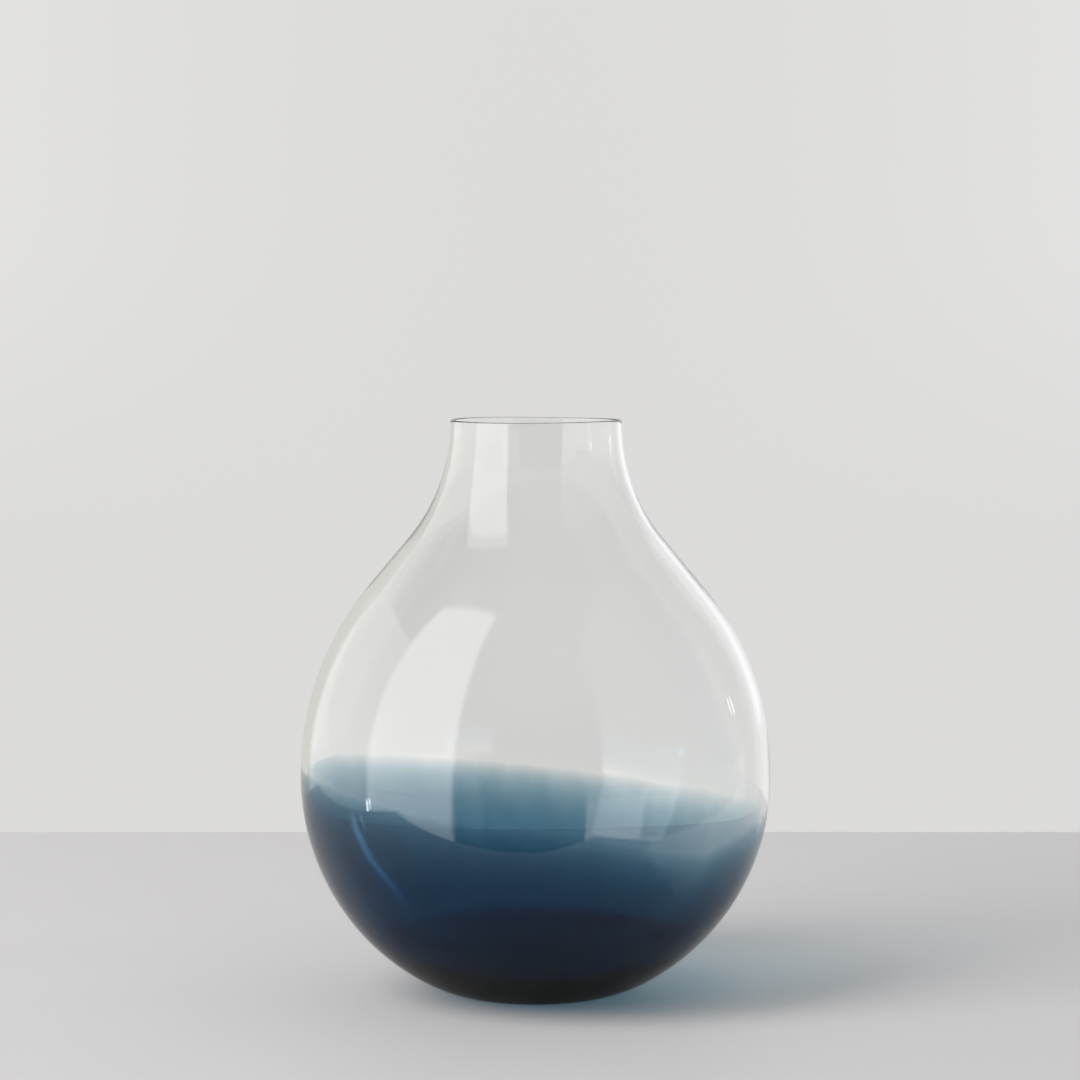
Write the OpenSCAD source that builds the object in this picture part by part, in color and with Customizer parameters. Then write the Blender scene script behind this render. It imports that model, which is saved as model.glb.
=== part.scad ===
// Hand-blown pear-shaped glass vase with an indigo fade in its lower third.
// Three gathers of glass are fused into one wall: a clear inner bubble, a cup of
// indigo glass over its tip, and a clear outer casing that carries the foot.
// Millimetres, +Z up. The origin is the centre of the foot, on the table's surface.

/* [Outline] */
// Height from the table to the lip
height = 300; // [280:5:330]
// Outer radius of the belly at its widest
belly_radius = 122.5; // [121:0.5:126]
// Height of the widest part of the belly
belly_height = 114.5; // [110:0.5:115]
// Outer radius of the neck at the lip
lip_radius = 44.5; // [38:0.5:50]
// Radius of the curve from the belly down towards the heel
bowl_curve = 121; // [118:0.5:124]
// Radius of the curve that rounds the bowl onto the table
heel_curve = 73; // [60:1:80]
// Radius of the curve from the belly up to the shoulder
shoulder_curve = 156; // [145:1:165]
// Length of the straight slope between the shoulder and the neck
slope_length = 32; // [10:1:45]

/* [Glass] */
// Wall thickness at the belly
belly_wall = 3.6; // [3.2:0.1:5]
// Wall thickness at the lip
lip_wall = 1.8; // [1.6:0.1:3]
// Thickness of the glass in the middle of the base
base_wall = 11; // [9:0.5:15]
// Share of the wall that the outer casing takes
casing_share = 0.5; // [0.45:0.01:0.55]

/* [Indigo layer] */
// Height at which the indigo glass thins out to nothing
fade_height = 122; // [100:1:128]
// Thickness that the indigo glass tends to below the fade
indigo_wall = 1.1; // [0.6:0.1:1.2]
// Height over which the indigo glass thickens
fade_length = 38; // [25:1:60]

/* [Foot] */
// Radius of the hollow ground into the underside
punt_radius = 17; // [13:0.5:17.5]
// Depth of that hollow
punt_depth = 2.5; // [1.5:0.25:3]
// Radius of the polished pontil mark in its middle
pontil_radius = 8; // [6:0.5:10]
// Depth of the pontil mark at its edge
pontil_depth = 0.8; // [0.5:0.1:1]

/* [Hidden] */
$fn = 180;
curve_steps = 22;    // straight steps along each long curve of the outline
heel_steps = 12;     // along the heel
punt_steps = 8;      // along the hollow of the underside
lip_steps = 6;       // over each half of the lip
feather_edge = 0.05; // thickness at which the indigo layer ends

// Points along an arc from one angle to another. The first one is left out on request,
// where the line has already reached it.
function arc(centre, radius, from, to, steps, first = 0) = [
    for (i = [first:steps])
        let (angle = from + (to - from) * i / steps)
        centre + radius * [cos(angle), sin(angle)]
];

function reversed(list) = [for (i = [len(list) - 1:-1:0]) list[i]];

// The lip is a half round over the wall, and the outline's arcs end where it starts.
lip_round = lip_wall / 2;
lip_centre = [lip_radius - lip_round, height - lip_round];

// One surface of the vase as [radius, height] points from the base to the lip. Its arcs
// share their tangents: heel, bowl, shoulder, a straight slope, and a neck that ends upright.
function surface_line(base_z, belly_r, bowl_r, heel_r, shoulder_r, neck_end_r) =
    let (
        bowl_c = [belly_r - bowl_r, belly_height],
        heel_z = base_z + heel_r,
        heel_x = bowl_c.x + sqrt(pow(bowl_r - heel_r, 2) - pow(belly_height - heel_z, 2)),
        heel_a = atan2(heel_z - belly_height, heel_x - bowl_c.x),
        shoulder_c = [belly_r - shoulder_r, belly_height],
        rise = lip_centre.y - belly_height,
        narrowing = belly_r - neck_end_r,
        both_radii = (pow(narrowing, 2) + pow(rise, 2) - pow(slope_length, 2)) / (2 * narrowing),
        neck_r = both_radii - shoulder_r,
        neck_c = [neck_end_r + neck_r, lip_centre.y],
        slope_a = atan2(rise, neck_c.x - shoulder_c.x) - atan2(slope_length, both_radii)
    )
    concat(
        arc([heel_x, heel_z], heel_r, -90, heel_a, heel_steps),
        arc(bowl_c, bowl_r, heel_a, 0, curve_steps, 1),
        arc(shoulder_c, shoulder_r, 0, slope_a, curve_steps, 1),
        arc(neck_c, neck_r, 180 + slope_a, 180, curve_steps)
    );

// The outside of the vase, and its hollow with the same number of points.
outside = surface_line(0, belly_radius, bowl_curve, heel_curve, shoulder_curve, lip_radius);
inside = surface_line(
    base_wall, belly_radius - belly_wall, bowl_curve - belly_wall,
    heel_curve - base_wall, shoulder_curve - belly_wall, lip_radius - lip_wall
);
last = len(outside) - 1;

// A point in the wall, at a share of the way from the outside to the hollow.
function in_wall(i, share) = outside[i] + share * (inside[i] - outside[i]);

// The casing's inner face, on which the indigo glass lies.
casing_inner = [for (i = [0:last]) in_wall(i, casing_share)];

// The indigo glass thickens downwards from the fade, and ends at its feather edge.
function indigo_thickness(i) =
    indigo_wall * (1 - exp(-max(fade_height - casing_inner[i].y, 0) / fade_length));
covered = [for (i = [0:last]) if (indigo_thickness(i) > feather_edge) i];
feather = covered[len(covered) - 1];
bubble_outer = [
    for (i = covered) in_wall(i, casing_share + indigo_thickness(i) / norm(inside[i] - outside[i]))
];

// Angle on the lip's half round at which the casing meets the bubble.
split_a = acos((lip_round - casing_share * lip_wall) / lip_round);

// The ground underside: a shallow dome with the pontil mark in its middle.
punt_curve = (pow(punt_radius, 2) + pow(punt_depth, 2)) / (2 * punt_depth);
function punt_z(r) = punt_depth - punt_curve + sqrt(pow(punt_curve, 2) - pow(r, 2));
pontil_z = punt_z(pontil_radius) + pontil_depth;
punt_line = concat(
    [[0, pontil_z], [pontil_radius - pontil_depth, pontil_z]],
    [
        for (i = [0:punt_steps])
            let (r = pontil_radius + (punt_radius - pontil_radius) * i / punt_steps)
            [r, punt_z(r)]
    ]
);

// Clear outer gather: the outside of the vase, its foot and the outer half of the lip.
module outer_casing() {
    color([0.90, 0.93, 0.93, 0.35])
        rotate_extrude()
        polygon(concat(
            punt_line,
            outside,
            arc(lip_centre, lip_round, 0, split_a, lip_steps, 1),
            reversed(casing_inner),
            [[0, casing_inner[0].y]]
        ));
}

// Indigo gather: a cup between the two clear ones, thickest at the base.
module indigo_layer() {
    color([0.05, 0.14, 0.26, 0.85])
        rotate_extrude()
        polygon(concat(
            [[0, casing_inner[0].y]],
            [for (i = covered) casing_inner[i]],
            reversed(bubble_outer),
            [[0, bubble_outer[0].y]]
        ));
}

// Clear first gather: the hollow of the vase and the inner half of the lip.
module inner_bubble() {
    color([0.93, 0.95, 0.95, 0.35])
        rotate_extrude()
        polygon(concat(
            [[0, bubble_outer[0].y]],
            bubble_outer,
            [for (i = [feather:last]) casing_inner[i]],
            arc(lip_centre, lip_round, split_a, 180, lip_steps),
            reversed([for (i = [0:last - 1]) inside[i]]),
            [[0, inside[0].y]]
        ));
}

outer_casing();
indigo_layer();
inner_bubble();
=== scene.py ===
"""Looks, studio and camera for the hand-blown glass vase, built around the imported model.

The wall is three layers of fused glass: a clear outer casing, an indigo layer that fades out
upwards, and a clear inner bubble. Where two layers are fused there is no surface to see, so
those faces are fully transparent, and only the faces that touch air bend and mirror light.
"""

import math

import bpy
import numpy as np
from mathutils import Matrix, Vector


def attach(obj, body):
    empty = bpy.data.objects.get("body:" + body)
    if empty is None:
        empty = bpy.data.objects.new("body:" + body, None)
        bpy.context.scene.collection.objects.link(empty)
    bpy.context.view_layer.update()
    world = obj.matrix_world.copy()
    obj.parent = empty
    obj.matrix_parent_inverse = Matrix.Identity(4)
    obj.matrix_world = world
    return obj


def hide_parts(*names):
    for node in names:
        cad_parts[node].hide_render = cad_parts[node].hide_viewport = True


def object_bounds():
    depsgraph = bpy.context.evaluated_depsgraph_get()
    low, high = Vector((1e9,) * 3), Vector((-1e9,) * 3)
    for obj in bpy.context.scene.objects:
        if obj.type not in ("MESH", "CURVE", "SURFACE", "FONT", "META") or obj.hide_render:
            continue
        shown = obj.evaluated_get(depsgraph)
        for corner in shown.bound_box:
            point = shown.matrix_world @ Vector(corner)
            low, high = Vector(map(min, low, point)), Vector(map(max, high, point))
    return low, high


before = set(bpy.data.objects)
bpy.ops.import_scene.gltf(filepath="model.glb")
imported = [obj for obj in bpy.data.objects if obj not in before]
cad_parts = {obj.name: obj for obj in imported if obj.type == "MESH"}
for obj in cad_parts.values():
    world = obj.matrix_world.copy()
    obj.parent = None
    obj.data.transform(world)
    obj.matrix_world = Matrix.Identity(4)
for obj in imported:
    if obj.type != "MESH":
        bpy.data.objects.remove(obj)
cad_low, cad_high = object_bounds()

# Outline of the vase, in metres
HEIGHT = cad_high.z
BELLY_RADIUS = (cad_high.x - cad_low.x) / 2
BELLY_HEIGHT = 0.1145
LIP_RADIUS = 0.0445
BOWL_CURVE = 0.121
HEEL_CURVE = 0.073
SHOULDER_CURVE = 0.156
SLOPE_LENGTH = 0.032

# Glass of the wall
BELLY_WALL = 0.0036
LIP_WALL = 0.0018
BASE_WALL = 0.011
CASING_SHARE = 0.5          # of the wall, measured from outside
INDIGO_WALL = 0.0011        # thickness that the indigo layer tends to
INDIGO_TOP = 0.122          # height at which it has thinned out to nothing
INDIGO_FADE = 0.038         # height over which it thickens
FEATHER_EDGE = 0.00005      # thickness at which its mesh ends
SEAM = 0.00001              # gap between layers, so that no two faces coincide

# Ground underside
FOOT_RADIUS = 0.017         # inner edge of the flat ring
PUNT_DEPTH = 0.0025
PONTIL_RADIUS = 0.008
PONTIL_DEPTH = 0.0008

# Colour of the indigo glass
FADE_HEIGHT = 0.1034        # of the colour's upper edge, at the axis
FADE_SLOPE = -0.104         # how the edge falls to the right
FADE_BEND = 33              # how it bends up towards both sides, times the fourth power of x
FRONT_SAG = 0.011           # how far it sags on the right of the front
SAG_ACROSS = (0.015, 0.1)   # from where to where across it comes in
SAG_FORWARDS = (-0.04, -0.09)
EDGE_WANDER = 0.003         # how far the edge wanders, in slow drifts and again in drips
FADE_LENGTH = 0.039         # height over which the colour deepens
FADE_STRETCH = 4.0          # how much longer that is towards the right, per metre
FADE_CURVE = 1.2            # above 1, it deepens faster at first
STREAK_LEAST = 0.88         # of the density, in the palest streaks
STREAK_RANGE = 0.24         # what the darkest streaks have more
FULL_DENSITY = 3.2          # optical density of the wall in red, below the fade
POOL_HEIGHT = 0.0298        # below which the indigo glass has pooled
POOL_FADE = 0.0045          # height over which the pool thickens
POOL_DENSITY = 3.5          # what that adds
DENSITY_RATIO = (1.0, 0.60, 0.435)  # in red, green and blue
GREY_DENSITY = 0.1          # in all colours alike, wherever the glass is indigo
GREY_SHARE = 0.25           # of the fade, over which that comes in
DEEP_DENSITY = 2.0          # from which the glass passes relatively more green and blue
DEEP_GAIN = 0.19            # how much more
SHADOW_GAMMA = 0.105        # of the wall's colour, in each face's shadow
SHADOW_GREY = 0.06          # share of that shadow that is plain grey

SEGMENTS = 256
IOR = 1.5


# ---------------------------------------------------------------- outline


def arc(centre, radius, start, end, steps, first=0):
    """Points along an arc, with angles in radians."""
    angles = [start + (end - start) * i / steps for i in range(first, steps + 1)]
    return [(centre[0] + radius * math.cos(a), centre[1] + radius * math.sin(a)) for a in angles]


def straight(start, end, steps):
    """Points strictly between two points."""
    return [
        tuple(s + (e - s) * i / steps for s, e in zip(start, end)) for i in range(1, steps)
    ]


LIP_ROUND = LIP_WALL / 2
LIP_CENTRE = (LIP_RADIUS - LIP_ROUND, HEIGHT - LIP_ROUND)


def surface_line(base_z, belly_r, bowl_r, heel_r, shoulder_r, neck_end_r):
    """The outline of the outside or of the hollow: heel, bowl, shoulder, slope and neck."""
    heel_z = base_z + heel_r
    bowl_x = belly_r - bowl_r
    heel_x = bowl_x + math.sqrt((bowl_r - heel_r) ** 2 - (BELLY_HEIGHT - heel_z) ** 2)
    heel_a = math.atan2(heel_z - BELLY_HEIGHT, heel_x - bowl_x)
    rise = LIP_CENTRE[1] - BELLY_HEIGHT
    narrowing = belly_r - neck_end_r
    both_radii = (narrowing**2 + rise**2 - SLOPE_LENGTH**2) / (2 * narrowing)
    neck_r = both_radii - shoulder_r
    neck_x = neck_end_r + neck_r
    slope_a = math.atan2(rise, neck_x - belly_r + shoulder_r) - math.atan2(SLOPE_LENGTH, both_radii)
    shoulder = arc((belly_r - shoulder_r, BELLY_HEIGHT), shoulder_r, 0, slope_a, 48, 1)
    neck = arc((neck_x, LIP_CENTRE[1]), neck_r, math.pi + slope_a, math.pi, 36)
    return (
        arc((heel_x, heel_z), heel_r, -math.pi / 2, heel_a, 28)
        + arc((bowl_x, BELLY_HEIGHT), bowl_r, heel_a, 0, 48, 1)
        + shoulder
        + straight(shoulder[-1], neck[0], 8)
        + neck
    )


outside = surface_line(0, BELLY_RADIUS, BOWL_CURVE, HEEL_CURVE, SHOULDER_CURVE, LIP_RADIUS)
inside = surface_line(
    BASE_WALL,
    BELLY_RADIUS - BELLY_WALL,
    BOWL_CURVE - BELLY_WALL,
    HEEL_CURVE - BASE_WALL,
    SHOULDER_CURVE - BELLY_WALL,
    LIP_RADIUS - LIP_WALL,
)
LAST = len(outside) - 1


def in_wall(i, share, inwards=0.0):
    """A station (radius, height, share) in the wall, moved inwards by a small distance."""
    (r0, z0), (r1, z1) = outside[i], inside[i]
    share += inwards / math.hypot(r1 - r0, z1 - z0)
    return (r0 + share * (r1 - r0), z0 + share * (z1 - z0), share)


def indigo_thickness(i):
    below = max(INDIGO_TOP - in_wall(i, CASING_SHARE)[1], 0)
    return INDIGO_WALL * (1 - math.exp(-below / INDIGO_FADE))


COVERED = [i for i in range(LAST + 1) if indigo_thickness(i) > FEATHER_EDGE]


def on_axis(station):
    """The station's foot on the axis, with points that keep the faces between them small."""
    r, z, share = station
    return [(0.0, z, share)] + [(r * i / 8, z, share) for i in range(1, 8)]


def underside():
    """The ground underside from the axis outwards: pontil mark, hollow and flat ring."""
    curve = (FOOT_RADIUS**2 + PUNT_DEPTH**2) / (2 * PUNT_DEPTH)

    def hollow(r):
        return PUNT_DEPTH - curve + math.sqrt(curve**2 - r**2)

    mark_z = hollow(PONTIL_RADIUS) + PONTIL_DEPTH
    mark_r = PONTIL_RADIUS - PONTIL_DEPTH
    points = [(mark_r * i / 6, mark_z - 0.0002 * (i / 6) ** 2) for i in range(7)]
    for i in range(16):
        r = PONTIL_RADIUS + (FOOT_RADIUS - PONTIL_RADIUS) * i / 16
        points.append((r, hollow(r)))
    # the hollow's edge is rounded off by polishing
    points += [
        (FOOT_RADIUS - 0.0002, 0.00004),
        (FOOT_RADIUS + 0.0002, 0.0),
        ((FOOT_RADIUS + outside[0][0]) / 2, 0.0),
    ]
    return [(r, z, 0.0) for r, z in points]


def lip(start, end, first, inwards=0.0):
    """Stations over part of the lip's half round."""
    points = arc(LIP_CENTRE, LIP_ROUND, start, end, 10, first)
    return [(r - inwards, z, (LIP_RADIUS - r) / LIP_WALL) for r, z in points]


SPLIT = math.acos((LIP_ROUND - CASING_SHARE * LIP_WALL) / LIP_ROUND)


def casing_outline():
    """Stations round the casing, and the first and last of its open face."""
    face = underside() + [in_wall(i, 0) for i in range(LAST + 1)] + lip(0, SPLIT, 1)
    seam = [in_wall(i, CASING_SHARE) for i in range(LAST, -1, -1)]
    return face + seam + on_axis(seam[-1])[::-1], (0, len(face) - 1)


def indigo_outline():
    outer = [in_wall(i, CASING_SHARE, SEAM) for i in COVERED]
    inner = [in_wall(i, CASING_SHARE, indigo_thickness(i) - SEAM) for i in reversed(COVERED)]
    stations = on_axis(outer[0]) + outer + inner + on_axis(inner[-1])[::-1]
    return stations, (0, len(stations) - 1)


def bubble_outline():
    top = COVERED[-1]
    seam = [in_wall(i, CASING_SHARE, indigo_thickness(i)) for i in COVERED]
    seam += [in_wall(i, CASING_SHARE, SEAM) for i in range(top + 1, LAST + 1)]
    seam = on_axis(seam[0]) + seam
    face = lip(SPLIT, math.pi, 0, SEAM) + [in_wall(i, 1) for i in range(LAST - 1, -1, -1)]
    face += on_axis(face[-1])[::-1]
    return seam + face, (len(seam), len(seam + face) - 1)


# ---------------------------------------------------------------- meshes


def slow_waves(seed, count, size):
    """Waves round and up the vase, as (times round, size, turn, lean), from a fixed seed."""
    rng = np.random.default_rng(seed)
    return [
        (2 + i, size / (1 + 0.5 * i), rng.uniform(0, 2 * math.pi), rng.uniform(-70, 70))
        for i in range(count)
    ]


WALL_WAVES = slow_waves(3, 5, 0.00014)
INNER_WAVES = slow_waves(11, 4, 0.00003)
NECK_LEAN = 0.0004          # how far the neck has settled to the right


def smooth(low, high, value):
    t = np.clip((value - low) / (high - low), 0, 1)
    return t * t * (3 - 2 * t)


def unevenness(angle, z, share):
    """How far the blown wall wanders outwards, and its inside a little further."""

    def wander(waves):
        return sum(size * np.cos(n * angle + turn + lean * z) for n, size, turn, lean in waves)

    return (wander(WALL_WAVES) + wander(INNER_WAVES) * share) * smooth(0.002, 0.03, z)


def spin(name, outline):
    """Turns a closed outline, which starts and ends on the axis, into a mesh."""
    stations, (open_from, open_to) = outline
    r, z, share = (np.array(column)[:, None] for column in zip(*stations[1:-1]))
    angle = np.linspace(0, 2 * math.pi, SEGMENTS, endpoint=False)[None, :]
    radius = r + unevenness(angle, z, share)
    lift = 0.00025 * np.cos(2 * angle + 1.0) * smooth(HEIGHT - 0.03, HEIGHT, z)
    lean = NECK_LEAN * smooth(0.2, HEIGHT, z)
    rings = np.stack(
        [radius * np.cos(angle) + lean, radius * np.sin(angle), z + lift + 0 * angle], axis=2
    )
    count = len(stations) - 2
    vertices = [(0, 0, stations[0][1])] + rings.reshape(-1, 3).tolist()
    vertices.append((0, 0, stations[-1][1]))

    def at(ring, step):
        return 1 + ring * SEGMENTS + step % SEGMENTS

    faces, kinds = [], []
    for step in range(SEGMENTS):
        faces.append((0, at(0, step + 1), at(0, step)))
        kinds.append(0)
    for ring in range(count - 1):
        for step in range(SEGMENTS):
            faces.append(
                (at(ring, step), at(ring, step + 1), at(ring + 1, step + 1), at(ring + 1, step))
            )
            kinds.append(ring + 1)
    for step in range(SEGMENTS):
        faces.append((at(count - 1, step), at(count - 1, step + 1), len(vertices) - 1))
        kinds.append(count)
    mesh = bpy.data.meshes.new(name)
    mesh.from_pydata(vertices, [], faces)
    mesh.polygons.foreach_set(
        "material_index", [0 if open_from <= k < open_to else 1 for k in kinds]
    )
    mesh.polygons.foreach_set("use_smooth", [True] * len(faces))
    mesh.set_sharp_from_angle(angle=math.radians(32))
    mesh.update()
    piece = bpy.data.objects.new(name, mesh)
    bpy.context.scene.collection.objects.link(piece)
    return piece


# ---------------------------------------------------------------- node helpers


def new_material(name):
    material = bpy.data.materials.new(name)
    material.use_nodes = True
    material.node_tree.nodes.clear()
    return material, material.node_tree


def put(tree, target, value):
    """Links an output to an input, or sets the input to a plain value."""
    if isinstance(value, bpy.types.NodeSocket):
        tree.links.new(value, target)
    else:
        target.default_value = value


def maths(tree, operation, *values, clamp=False):
    node = tree.nodes.new("ShaderNodeMath")
    node.operation = operation
    node.use_clamp = clamp
    for i, value in enumerate(values):
        put(tree, node.inputs[i], value)
    return node.outputs[0]


def noise(tree, vector, scale, detail=2.0, roughness=0.5):
    node = tree.nodes.new("ShaderNodeTexNoise")
    put(tree, node.inputs["Vector"], vector)
    node.inputs["Scale"].default_value = scale
    node.inputs["Detail"].default_value = detail
    node.inputs["Roughness"].default_value = roughness
    return node.outputs["Fac"]


def ramp(tree, value, low, high):
    """0 up to the first given value and 1 from the second, smooth in between. When the
    first is the higher of the two, it falls with the value in place of rising."""
    node = tree.nodes.new("ShaderNodeMapRange")
    node.interpolation_type = "SMOOTHSTEP"
    put(tree, node.inputs["Value"], value)
    node.inputs["From Min"].default_value = low
    node.inputs["From Max"].default_value = high
    return node.outputs["Result"]


def mix_colour(tree, factor, first, second):
    node = tree.nodes.new("ShaderNodeMix")
    node.data_type = "RGBA"
    put(tree, node.inputs["Factor"], factor)
    put(tree, node.inputs[6], first)
    put(tree, node.inputs[7], second)
    return node.outputs[2]


def mix_shader(tree, factor, first, second):
    node = tree.nodes.new("ShaderNodeMixShader")
    put(tree, node.inputs[0], factor)
    tree.links.new(first, node.inputs[1])
    tree.links.new(second, node.inputs[2])
    return node.outputs[0]


def light_path(tree, name):
    return tree.nodes.new("ShaderNodeLightPath").outputs[name]


def transparent(tree, colour=(1, 1, 1, 1)):
    node = tree.nodes.new("ShaderNodeBsdfTransparent")
    put(tree, node.inputs["Color"], colour)
    return node.outputs[0]


def output(tree, surface, world=False):
    node = tree.nodes.new("ShaderNodeOutputWorld" if world else "ShaderNodeOutputMaterial")
    tree.links.new(surface, node.inputs["Surface"])


def place(tree):
    """The point being shaded, in metres, as (whole vector, x, y, z)."""
    vector = tree.nodes.new("ShaderNodeTexCoord").outputs["Object"]
    parts = tree.nodes.new("ShaderNodeSeparateXYZ")
    tree.links.new(vector, parts.inputs[0])
    return (vector, *parts.outputs)


def round_the_axis(tree, spread, stretch):
    """Coordinates that run round the vase and, stretched, up it. They have no seam."""
    _, x, y, z = place(tree)
    squares = maths(tree, "MULTIPLY", x, x), maths(tree, "MULTIPLY", y, y)
    radius = maths(tree, "SQRT", maths(tree, "ADD", *squares))
    radius = maths(tree, "MAXIMUM", radius, 0.001)
    node = tree.nodes.new("ShaderNodeCombineXYZ")
    put(tree, node.inputs[0], maths(tree, "MULTIPLY", maths(tree, "DIVIDE", x, radius), spread))
    put(tree, node.inputs[1], maths(tree, "MULTIPLY", maths(tree, "DIVIDE", y, radius), spread))
    put(tree, node.inputs[2], maths(tree, "MULTIPLY", z, stretch))
    return node.outputs[0]


# ---------------------------------------------------------------- materials


def glass_shader(tree, colour, ior, normal=None, roughness=0.0):
    node = tree.nodes.new("ShaderNodeBsdfPrincipled")
    put(tree, node.inputs["Base Color"], colour)
    put(tree, node.inputs["Roughness"], roughness)
    node.inputs["IOR"].default_value = ior
    node.inputs["Transmission Weight"].default_value = 1.0
    if normal is not None:
        tree.links.new(normal, node.inputs["Normal"])
    return node.outputs[0]


def clear_glass(name, tint, deeper_tint):
    """Blown clear glass. Lamps shine through it, less so where it is seen edge on."""
    material, tree = new_material(name)
    cords = noise(tree, round_the_axis(tree, 1.0, 6.0), 2.2, 3.0)
    colour = mix_colour(tree, cords, tint, deeper_tint)
    bump = tree.nodes.new("ShaderNodeBump")
    bump.inputs["Strength"].default_value = 0.25
    bump.inputs["Distance"].default_value = 0.0001
    put(tree, bump.inputs["Height"], noise(tree, round_the_axis(tree, 1.0, 9.0), 3.0, 1.0))
    glass = glass_shader(tree, colour, IOR, bump.outputs[0])
    rim = tree.nodes.new("ShaderNodeFresnel")
    rim.inputs["IOR"].default_value = IOR
    shade = mix_colour(tree, rim.outputs[0], (0.97, 0.98, 0.98, 1), (0.66, 0.68, 0.69, 1))
    output(
        tree,
        mix_shader(tree, light_path(tree, "Is Shadow Ray"), glass, transparent(tree, shade)),
    )
    return material


def fused_glass(name):
    """A face where two layers have become one body of glass, so there is nothing to see."""
    material, tree = new_material(name)
    output(tree, transparent(tree))
    return material


def indigo_glass(name):
    """Indigo glass whose wall passes less light the further it lies below its uneven edge."""
    material, tree = new_material(name)
    _, x, y, z = place(tree)
    edge = maths(tree, "MULTIPLY_ADD", x, FADE_SLOPE, FADE_HEIGHT)
    sideways = maths(tree, "POWER", maths(tree, "ABSOLUTE", x), 4.0)
    edge = maths(tree, "MULTIPLY_ADD", sideways, FADE_BEND, edge)
    sag = maths(tree, "MULTIPLY", ramp(tree, x, *SAG_ACROSS), ramp(tree, y, *SAG_FORWARDS))
    edge = maths(tree, "MULTIPLY_ADD", sag, -FRONT_SAG, edge)
    drift = noise(tree, round_the_axis(tree, 1.0, 2.0), 1.6, 2.0)
    edge = maths(tree, "MULTIPLY_ADD", maths(tree, "SUBTRACT", drift, 0.5), EDGE_WANDER, edge)
    drips = noise(tree, round_the_axis(tree, 1.0, 3.0), 9.0, 3.0, 0.6)
    edge = maths(tree, "MULTIPLY_ADD", maths(tree, "SUBTRACT", drips, 0.5), EDGE_WANDER, edge)
    rightwards = maths(tree, "MAXIMUM", x, 0.0)
    length = maths(
        tree, "MULTIPLY_ADD", rightwards, FADE_STRETCH * FADE_LENGTH, FADE_LENGTH
    )
    below = maths(tree, "DIVIDE", maths(tree, "SUBTRACT", edge, z), length, clamp=True)
    left = maths(tree, "POWER", maths(tree, "SUBTRACT", 1.0, below), FADE_CURVE)
    streaks = maths(tree, "MULTIPLY_ADD", drips, STREAK_RANGE, STREAK_LEAST)
    density = maths(tree, "MULTIPLY", maths(tree, "SUBTRACT", 1.0, left), FULL_DENSITY)
    density = maths(tree, "MULTIPLY", density, streaks)
    pooled = maths(
        tree, "MULTIPLY", maths(tree, "SUBTRACT", POOL_HEIGHT, z), 1 / POOL_FADE, clamp=True
    )
    density = maths(tree, "MULTIPLY_ADD", pooled, POOL_DENSITY, density)
    grey = maths(tree, "MULTIPLY", below, 1 / GREY_SHARE, clamp=True)
    grey = maths(tree, "MULTIPLY", grey, -GREY_DENSITY)
    deep = maths(tree, "MAXIMUM", maths(tree, "SUBTRACT", density, DEEP_DENSITY), 0.0)
    gain = maths(tree, "MULTIPLY_ADD", deep, DEEP_GAIN, grey)
    colour = tree.nodes.new("ShaderNodeCombineColor")
    for i, ratio in enumerate(DENSITY_RATIO):
        rest = maths(tree, "MULTIPLY_ADD", density, -ratio, gain if i else grey)
        put(tree, colour.inputs[i], maths(tree, "EXPONENT", rest))
    # Each of the layer's two faces takes the square root of the wall's colour. Its shadow
    # is made paler than that to match the photo's, which stands in for the light that the
    # curved glass gathers there.
    glass = glass_shader(tree, colour.outputs[0], 1.0)
    paler = tree.nodes.new("ShaderNodeGamma")
    put(tree, paler.inputs["Color"], colour.outputs[0])
    paler.inputs["Gamma"].default_value = SHADOW_GAMMA
    shade = mix_colour(tree, SHADOW_GREY, paler.outputs[0], (0.6, 0.6, 0.62, 1))
    output(
        tree,
        mix_shader(tree, light_path(tree, "Is Shadow Ray"), glass, transparent(tree, shade)),
    )
    return material


# ---------------------------------------------------------------- pieces

fused = fused_glass("fused_face")
layers = (
    ("clear_casing", "outer_casing", "clear_casing", casing_outline(),
     clear_glass("casing_glass", (1.0, 1.0, 0.994, 1), (0.99, 0.995, 0.985, 1))),
    ("indigo_cup", "indigo_layer", "indigo_glass", indigo_outline(), indigo_glass("indigo_glass")),
    ("clear_bubble", "inner_bubble", "clear_bubble", bubble_outline(),
     clear_glass("bubble_glass", (1.0, 1.0, 0.996, 1), (0.992, 0.996, 0.99, 1))),
)
for name, node, slot, outline, material in layers:
    layer = spin(name, outline)
    layer.data.materials.append(material)
    layer.data.materials.append(fused)
    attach(layer, "root")
    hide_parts(node)


# ---------------------------------------------------------------- studio

# The panels and the mirrored table's edges are placed, and limited, so that their images
# match the highlights in the photo. They are not a plan of the real room, and the limits
# on depth have no counterpart in it.

TABLE_BACK = 0.547          # of the table's far edge behind the vase's axis
TABLE_SIDE = 2.5
TABLE_FRONT = 2.5
TABLE_THICKNESS = 0.03
MIRRORED_FRONT = 0.28       # the table as the glass mirrors it ends at these edges
FRONT_SLANT = 0.35          # how the front edge comes forward towards the right
MIRRORED_CORNER = 0.481     # sets where it turns back again, further right
CORNER_SLANT = 0.95         # how steeply it does
MIRRORED_LEFT = 0.62
LEFT_SLANT = 0.39           # how that edge runs outwards behind the vase
LEFT_TURN = 0.1             # how far behind the axis it starts to
WALL_LIGHT = (0.722, 0.716, 0.705)
SHADE_LIGHT = 0.475         # of the wall's light that falls on the table


def mirrored_only(tree):
    """1 for light that the glass mirrors into view, and 0 for what is seen or lit directly."""
    return maths(tree, "GREATER_THAN", light_path(tree, "Glossy Depth"), 0.5)


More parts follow.
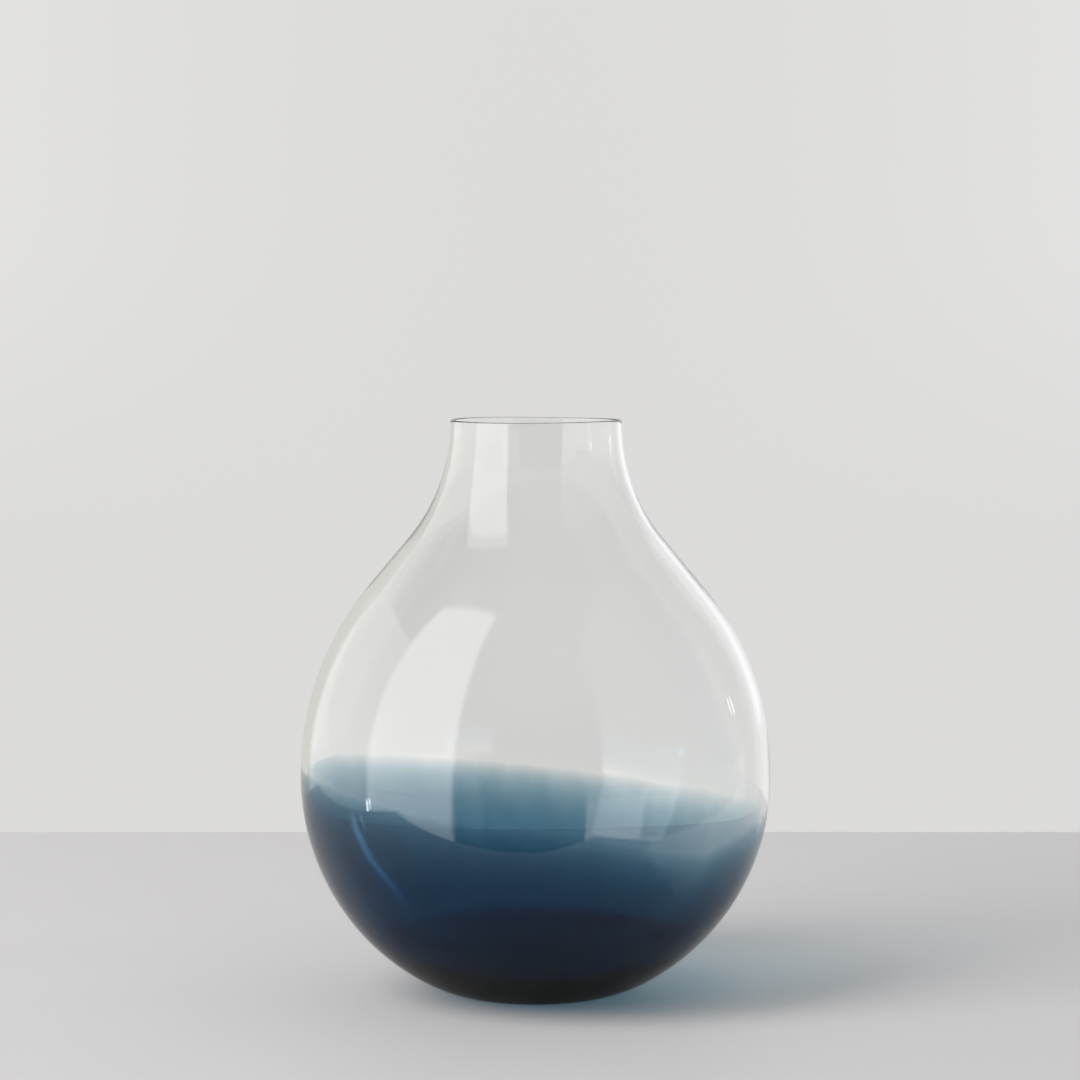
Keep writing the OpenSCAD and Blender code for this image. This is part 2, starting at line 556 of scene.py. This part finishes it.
def table_material():
    """Pale satin paint with a painted sheen in its colour: lighter where it is seen at a glancing
    angle, standing in for the pale wall's sheen on it, and darker when looked down on. Its mirror
    image ends at the edges of a smaller table."""
    material, tree = new_material("pale_table")
    vector, x, y, _ = place(tree)
    mottle = noise(tree, vector, 9.0, 4.0)
    weight = tree.nodes.new("ShaderNodeLayerWeight")
    weight.inputs["Blend"].default_value = 0.5
    # painted sheen: the paint's colour turns paler towards glancing views in place of the wall's
    # sheen on the satin
    painted_sheen = ramp(tree, weight.outputs["Facing"], 0.2, 0.7)
    pale = mix_colour(tree, mottle, (0.635, 0.625, 0.63, 1), (0.665, 0.655, 0.66, 1))
    # the grey 0.385 is the paint seen steeply; the two pale colours carry the painted sheen, with a
    # real mottle between them
    colour = mix_colour(tree, painted_sheen, (0.385, 0.385, 0.385, 1), pale)
    paint = tree.nodes.new("ShaderNodeBsdfPrincipled")
    put(tree, paint.inputs["Base Color"], colour)
    put(tree, paint.inputs["Roughness"], maths(tree, "MULTIPLY_ADD", mottle, 0.1, 0.55))
    paint.inputs["Specular IOR Level"].default_value = 0.2
    rightwards = maths(tree, "MAXIMUM", x, 0.0)
    front = maths(tree, "MULTIPLY_ADD", rightwards, -FRONT_SLANT, -MIRRORED_FRONT)
    corner = maths(tree, "MULTIPLY_ADD", x, CORNER_SLANT, -MIRRORED_CORNER)
    past_front = maths(tree, "LESS_THAN", y, maths(tree, "MAXIMUM", front, corner))
    further_back = maths(tree, "MAXIMUM", maths(tree, "SUBTRACT", y, LEFT_TURN), 0.0)
    slanted = maths(tree, "MULTIPLY_ADD", further_back, LEFT_SLANT, x)
    past_left = maths(tree, "LESS_THAN", slanted, -MIRRORED_LEFT)
    past = maths(tree, "MAXIMUM", past_front, past_left)
    gone = maths(tree, "MULTIPLY", past, mirrored_only(tree))
    output(tree, mix_shader(tree, gone, paint.outputs[0], transparent(tree)))
    return material


BLUE_SOFT = 0.04            # height over which a panel ends in the blue glass


def panel_material(name, colour, strength, width, heights, soft, behind, blue_top, faces):
    """Light that only the glass's mirror images show, and that fades out towards its edges.
    Three limits depend on how many faces of glass the light has passed:
    behind: the image in the clear back wall, after four faces, is hidden below the first
        of these heights and fades in up to the second;
    blue_top: after more than five, as in the blue glass, the light ends above this height;
    faces: the light shows only after at least so many."""
    material, tree = new_material(name)
    _, x, _, z = place(tree)
    side, bottom, top = soft
    across = maths(tree, "SUBTRACT", width / 2, maths(tree, "ABSOLUTE", x))
    shape = ramp(tree, across, 0, side)
    shape = maths(tree, "MULTIPLY", shape, ramp(tree, z, heights[0], heights[0] + bottom))
    fall = maths(tree, "SUBTRACT", heights[1], z)
    shape = maths(tree, "MULTIPLY", shape, ramp(tree, fall, 0, top))
    glow = tree.nodes.new("ShaderNodeEmission")
    glow.inputs["Color"].default_value = colour
    glow.inputs["Strength"].default_value = strength
    if behind:
        back_wall = maths(tree, "COMPARE", light_path(tree, "Transmission Depth"), 4.0, 0.5)
        below = maths(tree, "SUBTRACT", 1.0, ramp(tree, z, *behind))
        hidden = maths(tree, "MULTIPLY", back_wall, below)
        shape = maths(tree, "MULTIPLY", shape, maths(tree, "SUBTRACT", 1.0, hidden))
    if blue_top:
        blue = maths(tree, "GREATER_THAN", light_path(tree, "Transmission Depth"), 5.5)
        over = maths(tree, "MULTIPLY", blue, ramp(tree, z, blue_top, blue_top + BLUE_SOFT))
        shape = maths(tree, "MULTIPLY", shape, maths(tree, "SUBTRACT", 1.0, over))
    if faces:
        deep = maths(tree, "GREATER_THAN", light_path(tree, "Transmission Depth"), faces - 0.5)
        shape = maths(tree, "MULTIPLY", shape, deep)
    seen = maths(tree, "MULTIPLY", shape, mirrored_only(tree))
    output(tree, mix_shader(tree, seen, transparent(tree), glow.outputs[0]))
    material.cycles.emission_sampling = "NONE"
    return material


def stage_mesh(name, vertices, faces, material):
    mesh = bpy.data.meshes.new(name)
    mesh.from_pydata(vertices, [], faces)
    mesh.materials.append(material)
    thing = bpy.data.objects.new(name, mesh)
    bpy.context.scene.collection.objects.link(thing)
    return thing


def foot_of(bearing, distance):
    """A place on the floor, by its bearing from the vase in degrees from the camera's side
    round by the left."""
    turn = math.radians(bearing)
    return -distance * math.sin(turn), -distance * math.cos(turn)


def panel(name, bearings, distances, heights, colour, strength, soft=(0.02, 0.02, 0.02),
          behind=None, blue_top=0, faces=0):
    """An upright panel between two places and two heights. It is soft by so many metres at
    its sides, bottom and top. The rest is as in panel_material."""
    (x0, y0), (x1, y1) = map(foot_of, bearings, distances)
    half = math.hypot(x1 - x0, y1 - y0) / 2
    low, high = heights
    vertices = [(-half, 0, low), (half, 0, low), (half, 0, high), (-half, 0, high)]
    material = panel_material(
        name, colour, strength, 2 * half, heights, soft, behind, blue_top, faces
    )
    thing = stage_mesh(name, vertices, [(0, 1, 2, 3)], material)
    thing.location = ((x0 + x1) / 2, (y0 + y1) / 2, 0)
    thing.rotation_euler = (0, 0, math.atan2(y1 - y0, x1 - x0))


def table():
    x, front, back, under = TABLE_SIDE, -TABLE_FRONT, TABLE_BACK, -TABLE_THICKNESS
    vertices = [(-x, front, 0), (x, front, 0), (x, back, 0), (-x, back, 0)]
    vertices += [(a, b, under) for a, b, _ in vertices]
    faces = [(0, 1, 2, 3), (7, 6, 5, 4), (0, 4, 5, 1), (1, 5, 6, 2), (2, 6, 7, 3), (3, 7, 4, 0)]
    stage_mesh("table", vertices, faces, table_material())


WINDOW_BEARINGS = (36.5, 87)
WINDOW_DISTANCES = (0.9, 1.345)
WINDOW_TOP = 2.05
KEY_BEARINGS = (36.5, 72)   # of the lamp that lights the table
KEY_DISTANCES = (3.24, 3.96)
KEY_TOP = 7.4
KEY_ENERGY = 392

table()
panel("window", WINDOW_BEARINGS, WINDOW_DISTANCES, (-0.6, WINDOW_TOP), (1, 1, 0.99, 1), 2.1,
      soft=(0.05, 0.02, 0.35), behind=(0.2, 0.46), blue_top=0.8)
panel("left_flat", (79, 143), (1.53, 2.5), (-0.6, 1.35), (1, 1, 0.965, 1), 0.98,
      soft=(0.02, 0.02, 0.1))
panel("left_back", (136, 182), (2.6, 2.6), (-0.6, 3.0), (1, 0.99, 0.94, 1), 0.65)
panel("right_back", (180, 226), (2.65, 2.65), (-0.6, 3.0), (1, 1, 1, 1), 0.84)
panel("back_window", (199, 221), (2.3, 2.3), (0.0, 2.0), (0.98, 0.99, 1, 1), 1.0,
      soft=(0.15, 0.12, 0.8))
panel("right_flat", (224, 330), (2.2, 2.2), (-0.6, 3.4), (0.97, 0.99, 1, 1), 0.72,
      soft=(0.3, 0.9, 1.0))
# 3 m is above the whole of this panel, so the clear back wall never shows it
panel("right_low", (308, 337), (1.3, 1.3), (-0.6, 0.12), (0.98, 1, 1, 1), 1.25,
      soft=(0.03, 0.02, 0.2), behind=(3, 4))
panel("daylight", (232, 242), (1.3, 1.3), (0.2, 1.15), (0.6, 0.8, 1, 1), 6.5,
      soft=(0.11, 0.2, 0.4), faces=6)
panel("left_lamp", (84.5, 86.5), (1.2, 1.2), (-0.14, -0.03), (1, 1, 1, 1), 14)
panel("right_lamp", (244, 245.4), (1.3, 1.3), (0.31, 0.42), (1, 1, 1, 1), 9)


def make_world():
    """A pale wall all round for the eye, which lights the table at about half its strength,
    and a dim room with a paler ceiling in what the glass mirrors once. Light that is
    mirrored again inside the glass, or that leaves towards the back, ends on the pale
    wall."""
    world = bpy.data.worlds.new("studio")
    world.use_nodes = True
    tree = world.node_tree
    tree.nodes.clear()
    parts = tree.nodes.new("ShaderNodeSeparateXYZ")
    tree.links.new(tree.nodes.new("ShaderNodeTexCoord").outputs["Generated"], parts.inputs[0])
    x, y, z = parts.outputs
    rise = maths(tree, "MULTIPLY_ADD", z, 3.0, 0.4, clamp=True)
    aside = maths(tree, "MULTIPLY", maths(tree, "MULTIPLY", x, x), 36.0, clamp=True)
    aside = maths(tree, "MULTIPLY", aside, ramp(tree, z, -0.08, 0.03))
    wall = mix_colour(tree, rise, (*[0.99 * c for c in WALL_LIGHT], 1), (*WALL_LIGHT, 1))
    wall = mix_colour(tree, aside, wall, (*[1.07 * c for c in WALL_LIGHT], 1))
    lit = light_path(tree, "Diffuse Depth")
    wall = mix_colour(tree, lit, wall, (*[SHADE_LIGHT * c for c in WALL_LIGHT], 1))
    ceiling = mix_colour(
        tree, ramp(tree, x, -0.45, -0.05), (0.38, 0.38, 0.38, 1), (0.5, 0.5, 0.5, 1)
    )
    room = mix_colour(tree, ramp(tree, z, 0.1, 0.75), (0.16, 0.165, 0.18, 1), ceiling)
    once = maths(tree, "COMPARE", light_path(tree, "Glossy Depth"), 1.0, 0.5)
    once = maths(tree, "MULTIPLY", once, ramp(tree, y, 0.6, 0.35))
    colour = mix_colour(tree, once, wall, room)
    node = tree.nodes.new("ShaderNodeBackground")
    put(tree, node.inputs["Color"], colour)
    output(tree, node.outputs[0], world=True)
    bpy.context.scene.world = world


make_world()


def key_light():
    """The lamp that lights the table and shapes the shadow. It is larger and further off
    than the window panel, and it doesn't show in the glass."""
    (x0, y0), (x1, y1) = map(foot_of, KEY_BEARINGS, KEY_DISTANCES)
    lamp = bpy.data.lights.new("window_light", "AREA")
    lamp.shape = "RECTANGLE"
    lamp.size = math.hypot(x1 - x0, y1 - y0)
    lamp.size_y = KEY_TOP
    lamp.energy = KEY_ENERGY
    thing = bpy.data.objects.new("window_light", lamp)
    bpy.context.scene.collection.objects.link(thing)
    thing.location = ((x0 + x1) / 2, (y0 + y1) / 2, KEY_TOP / 2)
    thing.rotation_euler = (math.pi / 2, 0, math.atan2(y1 - y0, x1 - x0) + math.pi)
    thing.visible_camera = False
    thing.visible_glossy = False
    thing.visible_transmission = False


key_light()


# ---------------------------------------------------------------- camera

CAMERA_DISTANCE = 1.8
CAMERA_HEIGHT = 0.3628
CAMERA_SIDE = 0.0023
CAMERA_DIP = 0.0695         # radians below the horizon
SENSOR = 36.0
LENS = 115.8

camera_data = bpy.data.cameras.new("camera")
camera_data.sensor_width = SENSOR
camera_data.lens = LENS
camera_data.clip_start = 0.05
camera_data.clip_end = 50
camera = bpy.data.objects.new("camera", camera_data)
bpy.context.scene.collection.objects.link(camera)
camera.location = (CAMERA_SIDE, -CAMERA_DISTANCE, CAMERA_HEIGHT)
camera.rotation_euler = (math.pi / 2 - CAMERA_DIP, 0, 0)
scene = bpy.context.scene
scene.camera = camera

scene.view_settings.view_transform = "Standard"
scene.cycles.max_bounces = 32
scene.cycles.transmission_bounces = 32
scene.cycles.glossy_bounces = 12
scene.cycles.transparent_max_bounces = 64
scene.cycles.caustics_reflective = False
scene.cycles.caustics_refractive = False
